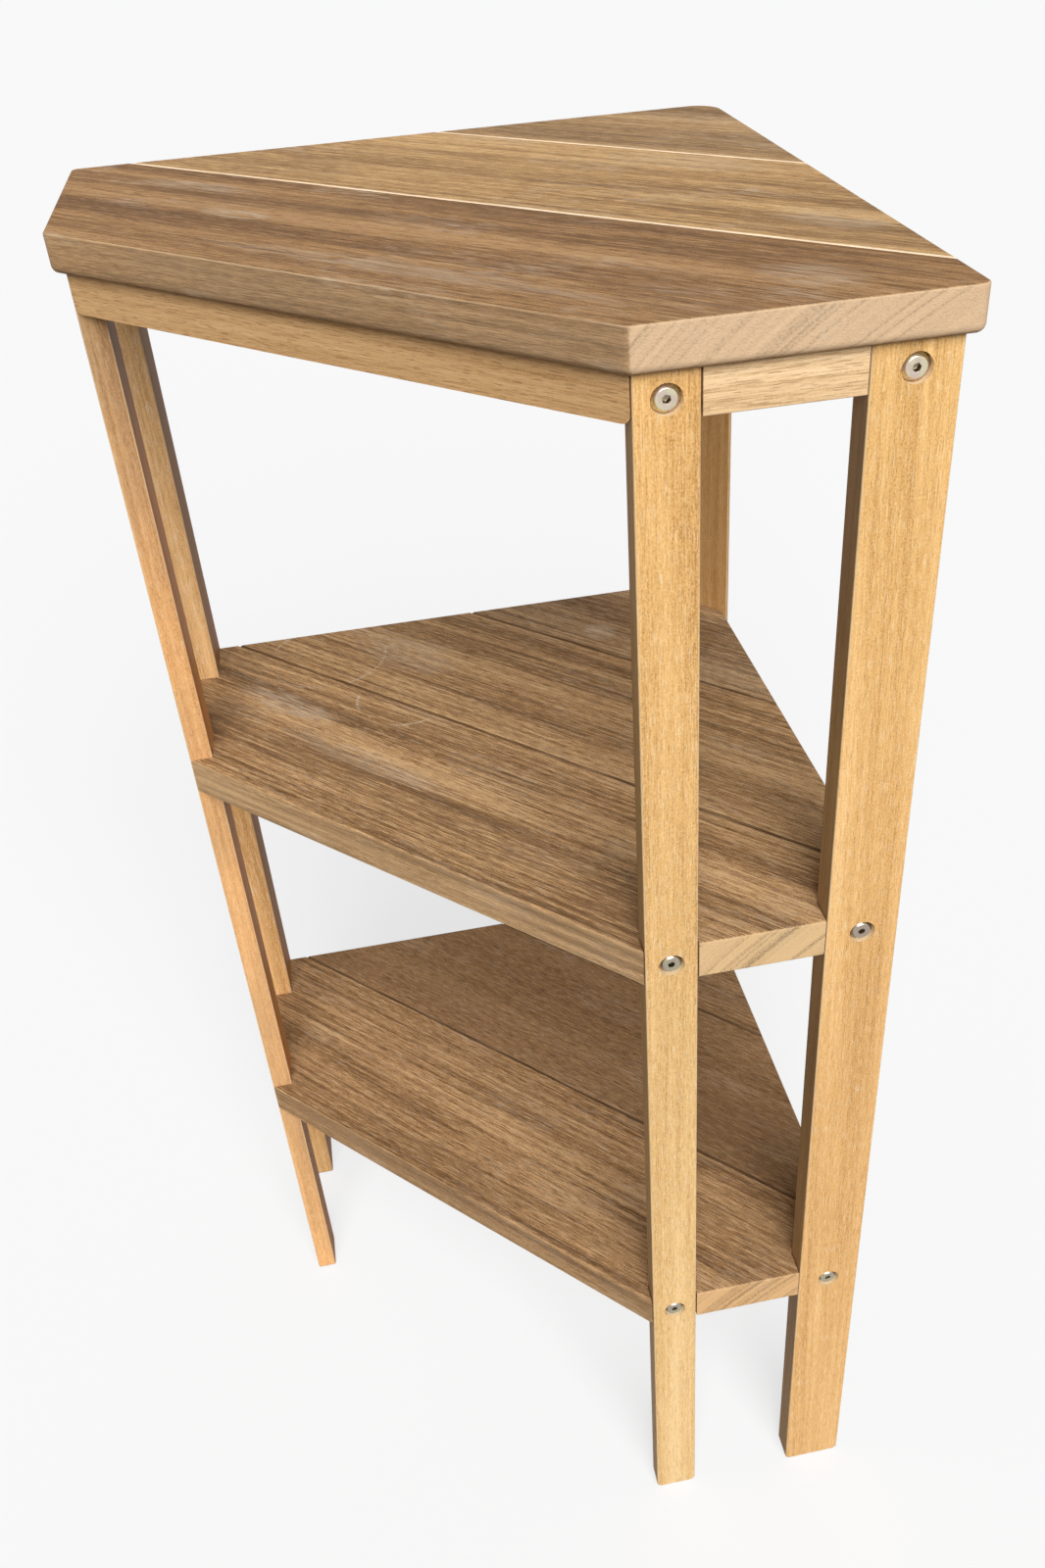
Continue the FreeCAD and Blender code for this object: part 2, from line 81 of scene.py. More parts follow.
class Graph:
    """Node tree of a material or a world, with short calls for the nodes that the finishes share."""

    # Places of the colours among the mix node's inputs and outputs
    MIX_FIRST = 6
    MIX_SECOND = 7
    MIX_RESULT = 2

    def __init__(self, tree: bpy.types.NodeTree) -> None:
        """Empties the node tree of a material or a world."""
        self.tree = tree
        self.tree.nodes.clear()

    def feed(self, socket: Socket, value: Feed) -> None:
        """Links a socket or sets its value.

        Args:
            socket: The input to fill.
            value: Another node's output, a number, or the numbers of a vector or colour.
        """
        if isinstance(value, Socket):
            self.tree.links.new(value, socket)
        elif socket.type == "RGBA":
            socket.default_value = (*value, 1.0)
        else:
            socket.default_value = value

    def add(self, kind: str, feeds: Optional[Dict[Union[str, int], Feed]] = None,
            **settings: Union[str, bool]) -> bpy.types.Node:
        """Adds a node.

        Args:
            kind: The node's type name.
            feeds: What goes into its inputs, by name or number.
            **settings: Its properties.

        Returns:
            The new node.
        """
        node = self.tree.nodes.new(kind)
        for name, value in settings.items():
            setattr(node, name, value)
        for key, value in (feeds or {}).items():
            self.feed(node.inputs[key], value)
        return node

    def math(self, operation: str, first: Feed, second: Feed = 0.0) -> Socket:
        """Result of one operation on one or two numbers."""
        return self.add("ShaderNodeMath", {0: first, 1: second}, operation=operation).outputs[0]

    def chain(self, operation: str, *values: Feed) -> Socket:
        """Result of one operation on several numbers, taken in turn.

        Args:
            operation: The operation's name.
            *values: The numbers, two or more.

        Returns:
            The result.
        """
        result = values[0]
        for value in values[1:]:
            result = self.math(operation, result, value)
        return result

    def product(self, *factors: Feed) -> Socket:
        """Product of two or more numbers."""
        return self.chain("MULTIPLY", *factors)

    def greatest(self, *values: Feed) -> Socket:
        """Greatest of two or more numbers."""
        return self.chain("MAXIMUM", *values)

    def size(self, value: Feed) -> Socket:
        """A number without its sign."""
        return self.math("ABSOLUTE", value)

    def total(self, *terms: Tuple[Feed, float]) -> Socket:
        """Weighted sum.

        Args:
            *terms: Pairs of a number and its weight.

        Returns:
            The sum's output.
        """
        result: Feed = 0.0
        for value, weight in terms:
            feeds = {0: value, 1: weight, 2: result}
            result = self.add("ShaderNodeMath", feeds, operation="MULTIPLY_ADD").outputs[0]
        return result

    def squares(self, *parts: Feed) -> Socket:
        """Sum of the squares of several numbers."""
        return self.total(*((self.product(part, part), 1.0) for part in parts))

    def fade(self, value: Feed, span: Pair) -> Socket:
        """Smooth step from 0 at the span's first number to 1 at its second, which may be the lower one."""
        feeds = {"Value": value, "From Min": span[0], "From Max": span[1]}
        return self.add("ShaderNodeMapRange", feeds, interpolation_type="SMOOTHSTEP").outputs[0]

    def noise(self, vector: Feed, pattern: Pattern) -> Socket:
        """Soft noise, about one half on average.

        Args:
            vector: The place to read.
            pattern: The noise's scale and layers.

        Returns:
            The noise value.
        """
        scaled = self.add("ShaderNodeVectorMath", {0: vector, 1: pattern.scale}, operation="MULTIPLY")
        feeds = {"Vector": scaled.outputs[0], "Scale": 1.0, "Detail": pattern.detail}
        dimensions = "2D" if pattern.flat else "3D"
        return self.add("ShaderNodeTexNoise", feeds, noise_dimensions=dimensions).outputs[0]

    def patches(self, vector: Feed, pattern: Pattern, span: Pair) -> Socket:
        """Noise faded into patches."""
        return self.fade(self.noise(vector, pattern), span)

    def mix(self, share: Feed, first: Feed, second: Feed, blend: str = "MIX") -> Socket:
        """Blend of two colours by a share of the second."""
        feeds = {0: share, self.MIX_FIRST: first, self.MIX_SECOND: second}
        return self.add("ShaderNodeMix", feeds, data_type="RGBA", blend_type=blend).outputs[self.MIX_RESULT]

    def tinted(self, colour: Feed, tint: Feed) -> Socket:
        """A colour times a tint."""
        return self.mix(1.0, colour, tint, "MULTIPLY")

    def ramp(self, value: Feed, stops: Sequence[Stop]) -> Socket:
        """Colour picked along a row of stops.

        Args:
            value: Where to pick, from 0 to 1.
            stops: Places and colours, in order.

        Returns:
            The colour.
        """
        node = self.add("ShaderNodeValToRGB", {0: value})
        elements = node.color_ramp.elements
        while len(elements) < len(stops):
            elements.new(1.0)
        for element, (place, colour) in zip(elements, stops):
            element.position = place
            element.color = (*colour, 1.0)
        return node.outputs[0]

    def split(self, vector: Feed) -> Tuple[Socket, ...]:
        """The three numbers of a vector."""
        return tuple(self.add("ShaderNodeSeparateXYZ", {0: vector}).outputs)

    def vector(self, *parts: Feed) -> Socket:
        """A vector of two or three numbers."""
        return self.add("ShaderNodeCombineXYZ", dict(enumerate(parts))).outputs[0]

    def blend(self, share: Feed, first: bpy.types.Node, second: bpy.types.Node) -> bpy.types.Node:
        """Blend of two shaders by a share of the second."""
        return self.add("ShaderNodeMixShader", {0: share, 1: first.outputs[0], 2: second.outputs[0]})

    def show(self, shader: bpy.types.Node, output: str = "ShaderNodeOutputMaterial") -> None:
        """Links a shader to the tree's output."""
        self.add(output, {"Surface": shader.outputs[0]})


def new_material(name: str) -> Tuple[bpy.types.Material, Graph]:
    """Makes a material with an empty node tree.

    Args:
        name: The material's name.

    Returns:
        The material and its tree.
    """
    material = bpy.data.materials.new(name)
    material.use_nodes = True
    return material, Graph(material.node_tree)


class Run(Enum):
    """Way that a piece's length runs, as the turn of its own axes.

    The piece's X runs along the grain. On a leg its Y runs across the width and its Z into the wood.
    """

    ALONG_FRONT = (0.0, 0.0, 0.0)
    RIGHT_SIDE = (0.0, 0.0, EIGHTH)
    LEFT_SIDE = (0.0, 0.0, -EIGHTH)
    RIGHT_UPRIGHT = (0.0, -QUARTER, -EIGHTH)
    LEFT_UPRIGHT = (0.0, -QUARTER, -3 * EIGHTH)
    REAR_UPRIGHT = (0.0, -QUARTER, QUARTER)


class Arris(Enum):
    """Edges of a piece that are worn pale and also carry a painted highlight."""

    UPPER = "between the upper face and the sides"
    ALL = "between any two faces"


class Grooves(Enum):
    """Long upper edges of a board that slope into a V groove: whether the front and the rear edge do."""

    NONE = (False, False)
    REAR = (False, True)
    BOTH = (True, True)
    FRONT = (True, False)


@dataclass(frozen=True)
class Axes:
    """A piece's own axes: its middle, their turn, and its length, width and thickness along them."""

    middle: Vector
    turn: Euler
    size: Vector

    @classmethod
    def of(cls, node: Piece, run: Run) -> "Axes":
        """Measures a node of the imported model.

        Args:
            node: The node's object.
            run: The way that its length runs.

        Returns:
            The node's axes.
        """
        turn = Euler(run.value, "XYZ")
        matrix = turn.to_matrix()
        back = matrix.transposed()
        points = [back @ vertex.co for vertex in node.data.vertices]
        low = Vector([min(point[axis] for point in points) for axis in range(3)])
        high = Vector([max(point[axis] for point in points) for axis in range(3)])
        return cls(matrix @ ((low + high) / 2), turn, high - low)


@dataclass(frozen=True)
class WoodFinish:
    """Colours and marks of one kind of wood.

    Dark, brown, mid and pale are the grain's colours. End is the colour of faces cut across the grain,
    arris that of edges worn pale, also a painted highlight along them, and bore that of the walls of bolt
    holes. Side is the colour of upright faces along the grain, and on the legs its darker colour on the
    narrow faces is painted shade. Groove is that of the grooves' flanks and dust that of flecks and scuffs,
    where the wood has them. Contrasts weigh the bands, streaks, dashes, fibres and grit along the grain, and
    the rings on cut ends. Pores are short dark dashes, flecks short pale ones, and lines long dark ones.
    """

    dark: Colour
    brown: Colour
    mid: Colour
    pale: Colour
    end: Colour
    arris: Colour
    bore: Colour = (0.74, 0.55, 0.33)
    side: Optional[Colour] = None
    groove: Optional[Colour] = None
    dust: Optional[Colour] = None
    band_contrast: float = 0.7
    streak_contrast: float = 0.9
    dash_contrast: float = 0.7
    fibre_contrast: float = 0.5
    grit_contrast: float = 0.3
    ring_contrast: float = 1.0
    line_strength: float = 0.0
    pore_strength: float = 0.5
    pore_start: float = 0.58
    fleck_strength: float = 0.0
    side_share: float = 0.0
    dust_strength: float = 0.0
    arris_strength: float = 0.5
    worn: Arris = Arris.UPPER
    roughness: float = 0.62
    relief: float = 0.00025


@dataclass(frozen=True)
class Smudge:
    """A mark on a board's upper face: a patch, or a thin ring where it has a width."""

    place: Pair
    reach: Pair
    strength: float
    colour: Colour
    width: float = 0.0


@dataclass(frozen=True)
class Grain:
    """How the rings run through one piece, and the piece's own marks.

    Heart is the place of the tree's middle, across and through the piece, from the piece's own middle.
    Slope is how far the heart shifts per metre of length. Seed shifts the figure along the grain. Tone tints
    the piece. Foot, where there is one, tints its start instead, and drift says where one tint begins to
    give way to the other and where it has done so, in half lengths from the middle. Inner shade is painted
    shade on the face turned to the shelf's middle. Figure weighs the bands, streaks, dashes and lines.
    """

    heart: Pair = (0.2, -0.2)
    slope: Pair = (0.012, 0.012)
    seed: float = 0.0
    tone: Colour = (1.0, 1.0, 1.0)
    foot: Optional[Colour] = None
    drift: Pair = (0.0, 0.95)
    inner: Optional[Colour] = None
    figure: float = 1.0
    smudges: Tuple[Smudge, ...] = ()


class WoodSkin:
    """Material of one wooden piece.

    A span is where a mask starts and where it is full. Weights say how much of each mark goes into a sum.
    """

    # Figure of the wood
    SWAY = Pattern((1.6, 6.0, 6.0))
    SWAY_REACH = 0.012
    BAND = Pattern((1.1, 52.0, 0.0), 3.0, flat=True)
    STREAK = Pattern((3.4, 360.0, 0.0), 4.0, flat=True)
    LINE = Pattern((5.5, 560.0, 0.0), 2.0, flat=True)
    LINE_SPAN = (0.52, 0.59)
    LINE_BAND_SPAN = (0.54, 0.45)
    DASH = Pattern((26.0, 1250.0, 1250.0))
    FIBRE = Pattern((110.0, 1700.0, 1700.0))
    PORE = Pattern((95.0, 1500.0, 1500.0))
    PORE_FADE = 0.08
    FLECK = Pattern((85.0, 1100.0, 1100.0))
    FLECK_SPAN = (0.58, 0.68)
    FLECK_SHIFT = (3.7, 3.7, 3.7)
    GRIT = Pattern((700.0, 1000.0, 1000.0))
    STAIN = Pattern((5.0, 16.0, 16.0), 2.0)
    GRAIN_STOPS = (0.08, 0.36, 0.60, 0.92)
    INNER_SHADE_SPAN = (0.5, 0.9)

    # Upright faces and cut ends
    UPRIGHT_SPAN = (0.75, 0.4)
    SIDE_PATCHES = 1.2
    SIDE_WEIGHTS = {"streak": 0.9, "fibre": 0.5}
    SIDE_BASE = 0.3
    CUT_SPAN = (0.35, 0.68)
    END_WEIGHTS = {"streak": 0.95, "band": 0.60, "grit": 0.45}
    END_STOPS = (0.20, 0.42, 0.75)
    END_TINTS = (0.60, 1.0, 1.15)

    # Worn edges, also a painted highlight, and dust
    ARRIS_SPAN = (0.985, 0.85)
    UPWARD_SPAN = (0.0, 0.2)
    RUBBED_SPAN = (0.2, 0.6)
    DUST = Pattern((13.0, 38.0, 38.0), 3.0)
    DUST_SPAN = (0.54, 0.72)
    SCRATCH = Pattern((60.0, 420.0, 420.0), 2.0)
    SCRATCH_SPAN = (0.42, 0.62)

    # Grooves and bolt holes
    SLOPE_SPAN = (0.58, 0.66)
    GROOVE_DEPTHS = (0.00015, 0.00035)
    GROOVE_WEIGHTS = {"dash": 1.4}
    GROOVE_BASE = 0.1
    WALL_SPAN = (0.5, 0.2)
    BORE_MARGINS = (0.0040, 0.0052)

    # Smudges
    PATCH_SPAN = (1.0, 0.15)
    RING_CORE = 0.3
    WANE = Pattern((24.0, 24.0, 24.0))
    WANE_SPAN = (0.40, 0.58)
    BREAK = Pattern((45.0, 700.0, 700.0), 2.0)
    BREAK_SPAN = (0.38, 0.58)
    UPPER_SPAN = (0.6, 0.8)

    # Relief and shine
    RELIEF_WEIGHTS = {"pore": -0.7, "dash": 0.6, "fibre": 0.5, "grit": 0.35}
    RELIEF_STRENGTH = 0.7
    ROUGH_WEIGHTS = {"streak": 0.15, "grit": 0.12}
    ROUGH_SHIFT = -0.13
    SHINE = 0.08

    def __init__(self, name: str, finish: WoodFinish, grain: Grain, axes: Axes, grooves: Grooves) -> None:
        """Prepares an empty material.

        Args:
            name: The piece's name.
            finish: The kind of wood.
            grain: The run of the rings and the piece's own marks.
            axes: The piece's own axes.
            grooves: The long edges that slope into a groove.
        """
        self.material, self.graph = new_material(f"{name}_finish")
        self.finish = finish
        self.grain = grain
        self.axes = axes
        self.grooves = grooves
        self.place = self.own_place()
        self.spot = self.graph.split(self.place)
        self.facing = self.graph.split(self.own_normal())
        self.marks = self.wood_marks()

    def make(self) -> bpy.types.Material:
        """Builds the node tree.

        Returns:
            The material.
        """
        graph = self.graph
        colour = self.grain_colour()
        for layers in (self.sides(), self.ends(), self.worn_and_highlit_edges(), self.dust(), self.flanks(),
                       self.bores(), self.smudges()):
            for share, tint in layers:
                colour = graph.mix(share, colour, tint)
        bump = graph.add("ShaderNodeBump", {
            "Strength": self.RELIEF_STRENGTH, "Distance": self.finish.relief,
            "Height": self.weighed(self.RELIEF_WEIGHTS)})
        rough = self.weighed(self.ROUGH_WEIGHTS, self.finish.roughness + self.ROUGH_SHIFT)
        graph.show(graph.add("ShaderNodeBsdfPrincipled", {
            "Base Color": colour, "Roughness": rough, "Specular IOR Level": self.SHINE,
            "Normal": bump.outputs[0]}))
        return self.material

    def own_place(self) -> Socket:
        """Place in the piece's own axes, from its middle.

        Returns:
            The place.
        """
        place = self.graph.add("ShaderNodeTexCoord").outputs["Object"]
        feeds = {"Vector": place, "Location": self.axes.middle, "Rotation": self.axes.turn}
        return self.graph.add("ShaderNodeMapping", feeds, vector_type="TEXTURE").outputs[0]

    def own_normal(self) -> Socket:
        """Way that the surface faces, in the piece's own axes.

        Returns:
            The way.
        """
        normal = self.graph.add("ShaderNodeNewGeometry").outputs["Normal"]
        feeds = {"Vector": normal, "Rotation": self.axes.turn}
        turned = self.graph.add("ShaderNodeVectorRotate", feeds, rotation_type="EULER_XYZ", invert=True)
        return turned.outputs[0]

    def wood_marks(self) -> Dict[str, Socket]:
        """Bands, lines, streaks, dashes, fibres, pores, flecks, grit and stains.

        Returns:
            The marks by name.
        """
        graph = self.graph
        heart = self.grain.heart
        slope = self.grain.slope
        along, across, through = self.spot
        sway = graph.math("SUBTRACT", graph.noise(self.place, self.SWAY), NOISE_MIDDLE)
        side = graph.total((across, 1.0), (along, slope[0]), (sway, self.SWAY_REACH), (1.0, -heart[0]))
        depth = graph.total((through, 1.0), (along, slope[1]), (1.0, -heart[1]))
        radius = graph.math("SQRT", graph.squares(side, depth))
        shifted = graph.math("ADD", along, self.grain.seed)
        figure = graph.vector(shifted, radius)
        solid = graph.vector(shifted, across, through)
        moved = graph.add("ShaderNodeVectorMath", {0: solid, 1: self.FLECK_SHIFT}, operation="ADD")
        other = moved.outputs[0]
        band = graph.noise(figure, self.BAND)
        line = graph.patches(figure, self.LINE, self.LINE_SPAN)
        pore_start = self.finish.pore_start
        return {
            "band": band,
            "line": graph.product(line, graph.fade(band, self.LINE_BAND_SPAN)),
            "streak": graph.noise(figure, self.STREAK),
            "dash": graph.noise(solid, self.DASH),
            "fibre": graph.noise(solid, self.FIBRE),
            "pore": graph.patches(solid, self.PORE, (pore_start, pore_start + self.PORE_FADE)),
            "fleck": graph.patches(other, self.FLECK, self.FLECK_SPAN),
            "grit": graph.noise(solid, self.GRIT),
            "stain": graph.noise(other, self.STAIN),
        }

    def weighed(self, weights: Dict[str, float], base: float = 0.0) -> Socket:
        """Weighted sum of marks by name, over a base."""
        terms = [(self.marks[name], weight) for name, weight in weights.items()]
        return self.graph.total(*terms, (1.0, base))

    def centred(self, weights: Dict[str, float]) -> Socket:
        """Weighted sum of marks by name, about one half on average."""
        return self.weighed(weights, NOISE_MIDDLE - sum(weights.values()) * NOISE_MIDDLE)

    def grain_colour(self) -> Socket:
        """Colour of a face along the grain.

        Returns:
            The colour.
        """
        graph = self.graph
        finish = self.finish
        figure = self.grain.figure
        shade = self.centred({
            "band": finish.band_contrast * figure, "streak": finish.streak_contrast * figure,
            "dash": finish.dash_contrast * figure, "fibre": finish.fibre_contrast,
            "grit": finish.grit_contrast})
        shades = (finish.dark, finish.brown, finish.mid, finish.pale)
        colour = graph.ramp(shade, tuple(zip(self.GRAIN_STOPS, shades)))
        for name, strength, tint in (("pore", finish.pore_strength, finish.dark),
                                     ("line", finish.line_strength * figure, finish.dark),
                                     ("fleck", finish.fleck_strength, finish.dust)):
            if strength:
                colour = graph.mix(graph.product(self.marks[name], strength), colour, tint)
        return graph.tinted(colour, self.tone())

    def tone(self) -> Feed:
        """Tint of the piece, which may drift along the grain, with painted shade on the face to the shelf's
        middle.

        Returns:
            The tint.
        """
        graph = self.graph
        grain = self.grain
        tone: Feed = grain.tone
        if grain.foot:
            start, end = (share * self.axes.size.x / 2 for share in grain.drift)
            feeds = {"Value": self.spot[0], "From Min": start, "From Max": end}
            tone = graph.mix(graph.add("ShaderNodeMapRange", feeds).outputs[0], grain.foot, tone)
        # Painted shade on the face turned to the shelf's middle.
        if grain.inner:
            shaded_inward = graph.fade(self.facing[2], self.INNER_SHADE_SPAN)
            tone = graph.mix(shaded_inward, tone, graph.tinted(tone, grain.inner))
        return tone

    def sides(self) -> List[Layer]:
        """Tint of upright faces along the grain, which on the legs is painted shade on the narrow faces.

        Returns:
            Its share and colour, where the wood has one.
        """
        graph = self.graph
        if not self.finish.side_share:
            return []
        upright = graph.fade(graph.size(self.facing[2]), self.UPRIGHT_SPAN)
        patchy_base = self.finish.side_share - self.SIDE_PATCHES * NOISE_MIDDLE
        patchy = self.weighed({"stain": self.SIDE_PATCHES}, patchy_base)
        side = graph.tinted(self.finish.side, self.weighed(self.SIDE_WEIGHTS, self.SIDE_BASE))
        return [(graph.product(upright, patchy), side)]

    def ends(self) -> List[Layer]:
        """Tint of faces cut across the grain, with the rings as lines.

        Returns:
            Its share and colour.
        """
        graph = self.graph
        contrast = self.finish.ring_contrast
        rings = self.centred({name: weight * contrast for name, weight in self.END_WEIGHTS.items()})
        shades = [tuple(part * tint for part in self.finish.end) for tint in self.END_TINTS]
        end = graph.ramp(rings, tuple(zip(self.END_STOPS, shades)))
        return [(graph.fade(graph.size(self.facing[0]), self.CUT_SPAN), end)]

    def worn_and_highlit_edges(self) -> List[Layer]:
        """Pale arrises, worn and also a painted highlight, found where the surface turns from one face to
        another.

        Returns:
            Their share and colour.
        """
        graph = self.graph
        upward = self.facing[2]
        if self.finish.worn is Arris.UPPER:
            level = graph.math("SQRT", graph.math("SUBTRACT", 1.0, graph.product(upward, upward)))
            turning = graph.fade(graph.greatest(graph.size(upward), level), self.ARRIS_SPAN)
            edge = graph.product(turning, graph.fade(upward, self.UPWARD_SPAN))
        else:
            edge = graph.fade(graph.greatest(*(graph.size(part) for part in self.facing)), self.ARRIS_SPAN)
        rubbed = graph.fade(self.marks["stain"], self.RUBBED_SPAN)
        return [(graph.product(edge, rubbed, self.finish.arris_strength), self.finish.arris)]

    def dust(self) -> List[Layer]:
        """Dusty scuffs.

        Returns:
            Their share and colour, where the wood has them.
        """
        graph = self.graph
        if not self.finish.dust_strength:
            return []
        patch = graph.patches(self.place, self.DUST, self.DUST_SPAN)
        scratch = graph.patches(self.place, self.SCRATCH, self.SCRATCH_SPAN)
        return [(graph.product(patch, scratch, self.finish.dust_strength), self.finish.dust)]

    def flanks(self) -> List[Layer]:
        """Tint of the grooves' flanks.

        Returns:
            A share and a colour for each grooved edge.
        """
        graph = self.graph
        upper = self.axes.size.z / 2
        layers = []
        for turned, wanted in zip((-1.0, 1.0), self.grooves.value):
            if wanted:
                sloping = graph.fade(self.facing[2], self.SLOPE_SPAN)
                flank = graph.fade(self.facing[1], tuple(turned * edge for edge in self.SLOPE_SPAN))
                uneven = self.weighed(self.GROOVE_WEIGHTS, self.GROOVE_BASE)
                sunk = graph.fade(self.spot[2], tuple(upper - depth for depth in self.GROOVE_DEPTHS))
                layers.append((graph.product(sloping, flank, uneven, sunk), self.finish.groove))
        return layers

    def bores(self) -> List[Layer]:
        """Tint of the walls of bolt holes.

        Returns:
            Its share and colour, where the piece is a leg or a rail.
        """
        graph = self.graph
        if self.finish.worn is not Arris.ALL:
            return []
        wall = graph.fade(graph.size(self.facing[2]), self.WALL_SPAN)
        inside = [graph.fade(graph.size(spot), tuple(length / 2 - margin for margin in self.BORE_MARGINS))
                  for spot, length in zip(self.spot, self.axes.size.xy)]
        return [(graph.product(wall, *inside), self.finish.bore)]

    def smudges(self) -> List[Layer]:
        """The piece's own marks, and where listed, patches of painted shade.

        Returns:
            A share and a colour for each mark.
        """
        graph = self.graph
        layers = []
        for smudge in self.grain.smudges:
            broken = graph.patches(self.place, self.BREAK, self.BREAK_SPAN)
            upper = graph.fade(self.facing[2], self.UPPER_SPAN)
            share = graph.product(self.smudge_shape(smudge), broken, upper, smudge.strength)
            layers.append((share, smudge.colour))
        return layers

    def smudge_shape(self, smudge: Smudge) -> Socket:
        """Mask of one mark.

        Args:
            smudge: The mark.

        Returns:
            The mask.
        """
        graph = self.graph
        offsets = [graph.math("DIVIDE", graph.math("SUBTRACT", spot, centre), reach)
                   for spot, centre, reach in zip(self.spot, smudge.place, smudge.reach)]
        spread = graph.squares(*offsets)
        if not smudge.width:
            return graph.fade(spread, self.PATCH_SPAN)
        gap = graph.size(graph.math("SUBTRACT", graph.math("SQRT", spread), 1.0))
        thin = smudge.width / smudge.reach[0]
        waning = graph.patches(self.place, self.WANE, self.WANE_SPAN)
        return graph.product(graph.fade(gap, (thin, thin * self.RING_CORE)), waning)


@dataclass(frozen=True)
class MetalFinish:
    """A plated metal: two tints that drift into each other, how rough it is, and its painted shade low down.

    Hollow names the mesh attribute that tells how deep in a hollow the surface lies. Hollow shade is
    painted shade that darkens it there.
    """

    name: str
    tint: Colour
    second_tint: Colour
    roughness: float
    low_shade_share: float = 1.0
    low_shade_heights: Pair = (0.6, 0.8)
    hollow: str = ""
    hollow_shade: Colour = (0.270, 0.225, 0.150)

    DRIFT = Pattern((180.0, 180.0, 180.0))
    DRIFT_SPAN = (0.4, 0.6)
    SPECK = Pattern((2500.0, 2500.0, 2500.0), 2.0)
    SPECK_WEIGHT = 0.25
    ROUGH_SHIFT = -0.12
    HOLLOW_SHADE_SPAN = (0.0, 0.6)
    RELIEF = 0.00003
    RELIEF_STRENGTH = 0.25

    def make(self) -> bpy.types.Material:
        """Builds the material.

        Returns:
            The material.
        """
        material, graph = new_material(self.name)
        place = graph.add("ShaderNodeTexCoord").outputs["Object"]
        speck = graph.noise(place, self.SPECK)
        drift = graph.patches(place, self.DRIFT, self.DRIFT_SPAN)
        colour = graph.mix(drift, self.tint, self.second_tint)
        # Painted shade: bolts low down are darker, standing in for the darker surroundings they mirror
        # there.
        if self.low_shade_share < 1.0:
            above_shade = graph.fade(graph.split(place)[2], self.low_shade_heights)
            colour = graph.mix(above_shade, graph.tinted(colour, (self.low_shade_share,) * 3), colour)
        # Painted shade in the hex sockets, darker the deeper the surface lies.
        if self.hollow:
            depth = graph.add("ShaderNodeAttribute", attribute_name=self.hollow).outputs["Fac"]
            colour = graph.mix(graph.fade(depth, self.HOLLOW_SHADE_SPAN), colour, self.hollow_shade)
        rough = graph.total((speck, self.SPECK_WEIGHT), (1.0, self.roughness + self.ROUGH_SHIFT))
        bump = graph.add("ShaderNodeBump", {
            "Strength": self.RELIEF_STRENGTH, "Distance": self.RELIEF, "Height": speck})
        graph.show(graph.add("ShaderNodeBsdfPrincipled", {
            "Base Color": colour, "Metallic": 1.0, "Roughness": rough, "Normal": bump.outputs[0]}))
        return material


# Finishes of the boards, legs, rails and dowels
WEATHERED = WoodFinish(
    dark=(0.150, 0.080, 0.036), brown=(0.270, 0.150, 0.068), mid=(0.375, 0.216, 0.100),
    pale=(0.520, 0.330, 0.170), end=(0.568, 0.395, 0.243), arris=(0.560, 0.400, 0.240),
    side=(0.390, 0.260, 0.147), groove=(0.900, 0.720, 0.520), dust=(0.600, 0.470, 0.330),
    band_contrast=1.4, streak_contrast=1.0, dash_contrast=1.4, fibre_contrast=1.2, grit_contrast=0.7,
    line_strength=0.6, fleck_strength=0.25, side_share=0.55, dust_strength=0.35, arris_strength=0.6)
SHELF_WOOD = WoodFinish(
    dark=(0.130, 0.068, 0.030), brown=(0.255, 0.140, 0.062), mid=(0.375, 0.217, 0.100),
    pale=(0.540, 0.345, 0.175), end=(0.560, 0.378, 0.198), arris=(0.520, 0.340, 0.180),
    side=(0.360, 0.225, 0.115), groove=(0.080, 0.040, 0.018), dust=(0.580, 0.460, 0.330),
    band_contrast=1.3, streak_contrast=1.4, dash_contrast=1.6, fibre_contrast=1.3, grit_contrast=0.8,
    ring_contrast=1.8, line_strength=0.75, fleck_strength=0.25, side_share=0.4, dust_strength=0.2,
    arris_strength=0.35)
MIDDLE_SHELF_WOOD = replace(SHELF_WOOD, side=(0.550, 0.360, 0.190), side_share=0.5)
LOWER_SHELF_WOOD = replace(SHELF_WOOD, end=(0.558, 0.343, 0.165))
# On the legs the darker side colour of the narrow faces is painted shade.
LEG_WOOD = WoodFinish(
    dark=(0.420, 0.220, 0.075), brown=(0.610, 0.350, 0.132), mid=(0.700, 0.420, 0.168),
    pale=(0.800, 0.520, 0.240), end=(0.550, 0.360, 0.170), arris=(0.860, 0.660, 0.400),
    side=(0.430, 0.250, 0.105), dust=(0.800, 0.680, 0.480),
    band_contrast=1.2, streak_contrast=0.6, dash_contrast=0.5, fibre_contrast=0.6, grit_contrast=0.9,
    pore_strength=0.4, pore_start=0.62, fleck_strength=0.3, side_share=0.7, worn=Arris.ALL, roughness=0.55)
